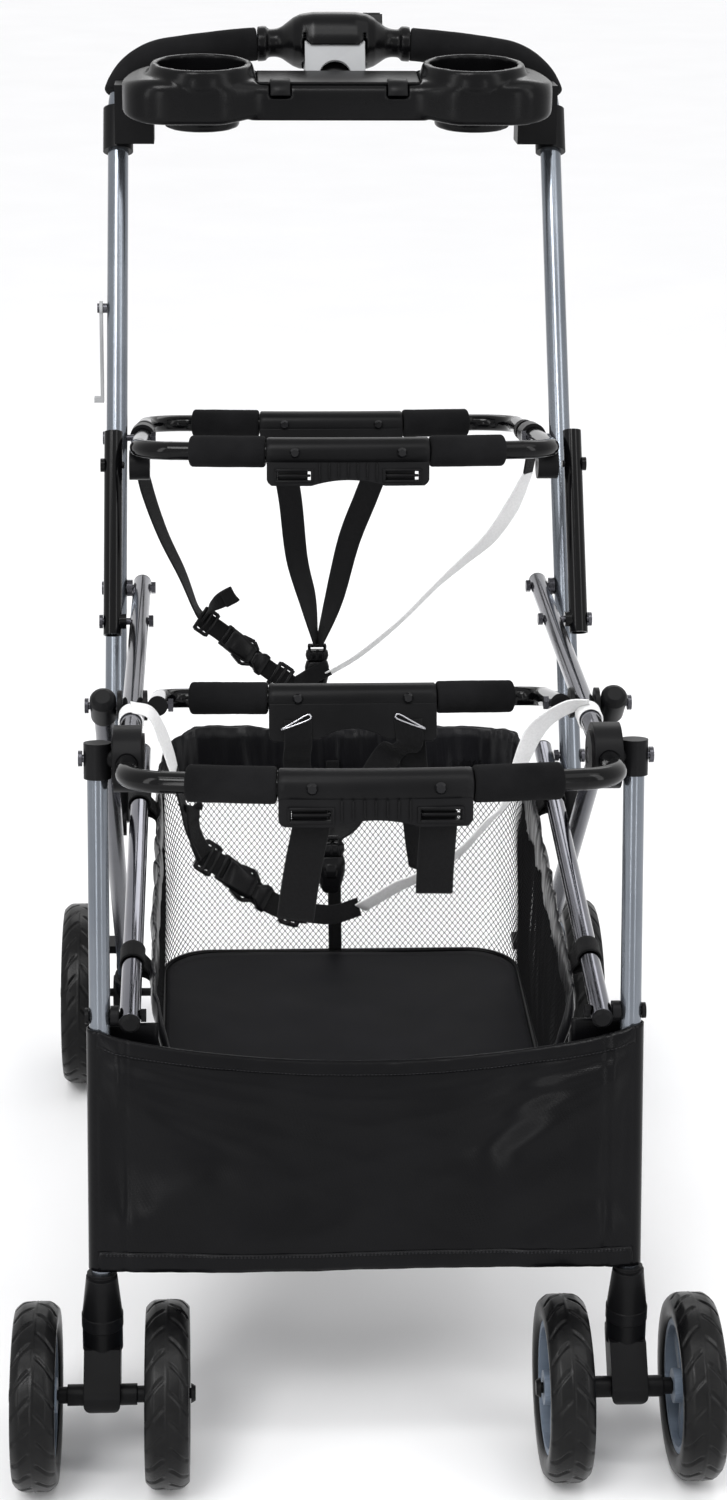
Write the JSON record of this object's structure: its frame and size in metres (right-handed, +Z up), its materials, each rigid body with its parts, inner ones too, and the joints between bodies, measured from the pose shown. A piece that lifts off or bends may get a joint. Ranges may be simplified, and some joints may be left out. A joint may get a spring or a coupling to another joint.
{
  "type": "car seat stroller frame",
  "caption": "Folding carrier frame with tandem rings for infant car seats, a cup-holder tray on the handle, a mesh basket and dual-wheel swivel casters.",
  "frame": {"origin": "floor level under the middle of the frame", "axes": "+Z up, -Y the way it travels, +X to the right in the picture"},
  "size_m": [0.5466, 0.8592, 1.0414],
  "materials": {
    "satin_tube": "satin silver paint",
    "bright_tube": "bright plated",
    "black_tube": "gloss black paint",
    "black_plastic": "satin moulded",
    "foam": "matte foam",
    "steel": "zinc plated",
    "grey_plastic": "satin moulded",
    "tyre": "matte",
    "cloth": "woven nylon",
    "webbing": "woven webbing"
  },
  "bodies": {
    "rail_frame": {"upper_rail_left": "bright_tube", "upper_rail_right": "bright_tube", "rail_plugs": "black_plastic", "front_knuckles": "black_plastic", "frame_bolts": "steel", "front_ring_front_bar": "black_tube", "front_ring_rear_bar": "black_tube", "front_ring_grips": "foam", "front_ring_saddles": "black_plastic", "front_ring_screws": "steel", "front_harness": "webbing"},
    "handle": {"handle_tube_left": "satin_tube", "handle_tube_right": "satin_tube", "handle_bow": "satin_tube", "handle_foam": "foam", "handle_housing": "black_plastic", "handle_feet": "black_plastic", "handle_bolts": "steel", "parent_tray": "black_plastic", "tray_clamps": "black_plastic"},
    "tray_lid": {"tray_lid": "black_plastic"},
    "fold_trigger": {"fold_trigger": "grey_plastic"},
    "lock_button": {"lock_button": "black_plastic"},
    "latch_rods": {"latch_rods": "steel"},
    "storage_latch": {"storage_latch": "grey_plastic"},
    "struts": {"struts": "black_tube"},
    "rear_ring": {"rear_ring_front_bar": "black_tube", "rear_ring_rear_bar": "black_tube", "rear_ring_grips": "foam", "rear_ring_saddles": "black_plastic", "rear_ring_screws": "steel", "rear_ring_lugs": "black_plastic", "rear_harness": "webbing"},
    "front_legs": {"front_leg_left": "satin_tube", "front_leg_right": "satin_tube", "front_leg_caps": "black_plastic", "caster_collars": "black_plastic", "front_apron": "cloth"},
    "lower_rails": {"lower_rail_left": "bright_tube", "lower_rail_right": "bright_tube", "lower_rail_plugs": "black_plastic", "basket": "cloth"},
    "caster_left": {"caster_left": "black_plastic"},
    "caster_right": {"caster_right": "black_plastic"},
    "front_wheel_left_outer": {"front_tyre_left_outer": "tyre", "front_hub_left_outer": "grey_plastic"},
    "front_wheel_left_inner": {"front_tyre_left_inner": "tyre", "front_hub_left_inner": "grey_plastic"},
    "front_wheel_right_inner": {"front_tyre_right_inner": "tyre", "front_hub_right_inner": "grey_plastic"},
    "front_wheel_right_outer": {"front_tyre_right_outer": "tyre", "front_hub_right_outer": "grey_plastic"},
    "rear_legs": {"rear_legs": "bright_tube", "rear_axle_set": "black_plastic"},
    "rear_wheel_left": {"rear_tyre_left": "tyre", "rear_hub_left": "grey_plastic"},
    "rear_wheel_right": {"rear_tyre_right": "tyre", "rear_hub_right": "grey_plastic"},
    "brake_left": {"brake_pedal_left": "black_plastic"},
    "brake_right": {"brake_pedal_right": "black_plastic"}
  },
  "joints": [
    {"name": "handle_fold", "type": "hinge", "parent": "rail_frame", "child": "handle", "pos_m": [0, 0.154, 0.555], "axis": [1, 0, 0], "range_deg": [0, 80], "deforming": ["basket", "front_apron", "front_harness", "rear_harness"]},
    {"name": "strut_fold", "type": "hinge", "parent": "rail_frame", "child": "struts", "pos_m": [0, 0.059, 0.55455], "axis": [1, 0, 0], "range_deg": [0, 80]},
    {"name": "rear_ring_fold", "type": "hinge", "parent": "handle", "child": "rear_ring", "pos_m": [0, 0.22054, 0.67704], "axis": [1, 0, 0], "range_deg": [-80, 0]},
    {"name": "front_leg_fold", "type": "hinge", "parent": "rail_frame", "child": "front_legs", "pos_m": [0, -0.265, 0.553], "axis": [1, 0, 0], "range_deg": [0, 61.8]},
    {"name": "lower_rail_fold", "type": "hinge", "parent": "front_legs", "child": "lower_rails", "pos_m": [0, -0.2987, 0.35789], "axis": [1, 0, 0], "range_deg": [-67.8, 0]},
    {"name": "rear_leg_fold", "type": "hinge", "parent": "rail_frame", "child": "rear_legs", "pos_m": [0, -0.151, 0.55354], "axis": [1, 0, 0], "range_deg": [0, 17.8]},
    {"name": "caster_left_swivel", "type": "hinge", "parent": "front_legs", "child": "caster_left", "pos_m": [-0.202, -0.337, 0.1], "axis": [0, 0, 1], "continuous": true},
    {"name": "caster_right_swivel", "type": "hinge", "parent": "front_legs", "child": "caster_right", "pos_m": [0.202, -0.337, 0.1], "axis": [0, 0, 1], "continuous": true},
    {"name": "front_wheel_left_outer_spin", "type": "hinge", "parent": "caster_left", "child": "front_wheel_left_outer", "pos_m": [-0.252, -0.359, 0.0695], "axis": [1, 0, 0], "continuous": true},
    {"name": "front_wheel_left_inner_spin", "type": "hinge", "parent": "caster_left", "child": "front_wheel_left_inner", "pos_m": [-0.152, -0.359, 0.0695], "axis": [1, 0, 0], "continuous": true},
    {"name": "front_wheel_right_inner_spin", "type": "hinge", "parent": "caster_right", "child": "front_wheel_right_inner", "pos_m": [0.152, -0.359, 0.0695], "axis": [1, 0, 0], "continuous": true},
    {"name": "front_wheel_right_outer_spin", "type": "hinge", "parent": "caster_right", "child": "front_wheel_right_outer", "pos_m": [0.252, -0.359, 0.0695], "axis": [1, 0, 0], "continuous": true},
    {"name": "rear_wheel_left_spin", "type": "hinge", "parent": "rear_legs", "child": "rear_wheel_left", "pos_m": [-0.247, 0.297, 0.088], "axis": [1, 0, 0], "continuous": true},
    {"name": "rear_wheel_right_spin", "type": "hinge", "parent": "rear_legs", "child": "rear_wheel_right", "pos_m": [0.247, 0.297, 0.088], "axis": [1, 0, 0], "continuous": true},
    {"name": "brake_left_press", "type": "hinge", "parent": "rear_legs", "child": "brake_left", "pos_m": [-0.202, 0.331, 0.104], "axis": [1, 0, 0], "range_deg": [-18, 0]},
    {"name": "brake_right_press", "type": "hinge", "parent": "rear_legs", "child": "brake_right", "pos_m": [0.202, 0.331, 0.104], "axis": [1, 0, 0], "range_deg": [-18, 0]},
    {"name": "tray_lid_open", "type": "hinge", "parent": "handle", "child": "tray_lid", "pos_m": [0, 0.27739, 0.99273], "axis": [1, 0, 0], "range_deg": [0, 100]},
    {"name": "trigger_squeeze", "type": "slide", "parent": "handle", "child": "fold_trigger", "axis": [0, 0.4787, 0.878], "range_m": [0, 0.009], "stiffness_N_per_m": 900, "springref_m": -0.002},
    {"name": "lock_button_slide", "type": "slide", "parent": "handle", "child": "lock_button", "axis": [-1, 0, 0], "range_m": [0, 0.008], "stiffness_N_per_m": 300, "springref_m": -0.002},
    {"name": "latch_rod_lift", "type": "slide", "parent": "handle", "child": "latch_rods", "axis": [0, 0.4787, 0.878], "range_m": [0, 0.009]},
    {"name": "storage_latch_swing", "type": "hinge", "parent": "handle", "child": "storage_latch", "pos_m": [-0.217, 0.27942, 0.78503], "axis": [1, 0, 0], "range_deg": [-40, 90]}
  ],
  "couplings": [
    {"joint": "strut_fold", "follows": "handle_fold", "ratio": 1},
    {"joint": "rear_ring_fold", "follows": "handle_fold", "ratio": -1},
    {"joint": "front_leg_fold", "follows": "handle_fold", "ratio": 0.77},
    {"joint": "lower_rail_fold", "follows": "handle_fold", "ratio": -0.845},
    {"joint": "rear_leg_fold", "follows": "handle_fold", "ratio": 0.22},
    {"joint": "latch_rod_lift", "follows": "trigger_squeeze", "ratio": 1}
  ]
}
